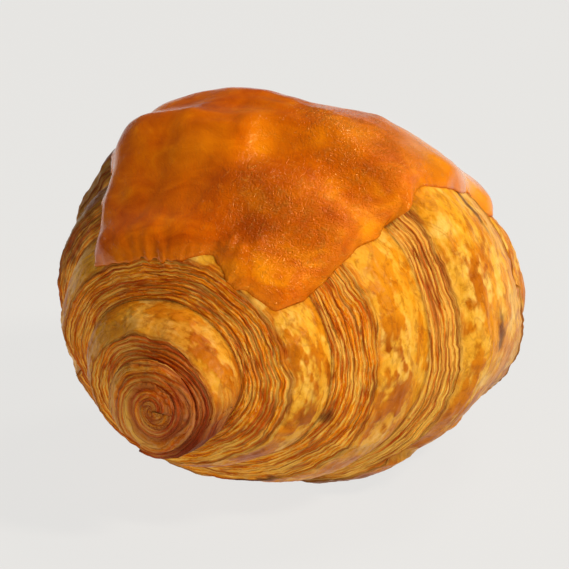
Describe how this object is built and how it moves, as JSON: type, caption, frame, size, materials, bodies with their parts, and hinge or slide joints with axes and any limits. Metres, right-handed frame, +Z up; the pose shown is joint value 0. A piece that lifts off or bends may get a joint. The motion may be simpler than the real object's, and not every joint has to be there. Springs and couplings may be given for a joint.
{
  "type": "cheese croissant",
  "caption": "Plump rolled croissant with stepped spiral layers and a slice of cheese melted over its top.",
  "frame": {"origin": "centre of the footprint, on the surface the croissant rests on", "axes": "+X along the croissant from the near tip to the far tip, -Y the side that both tips curve towards, +Z up"},
  "size_m": [0.1184, 0.0896, 0.0698],
  "materials": {
    "crust": "baked golden crust with a soft egg-wash sheen",
    "cheese": "melted orange cheese, glossy and slightly grainy"
  },
  "bodies": {
    "root": {"croissant": "crust", "melted_cheese": "cheese"}
  },
  "joints": []
}
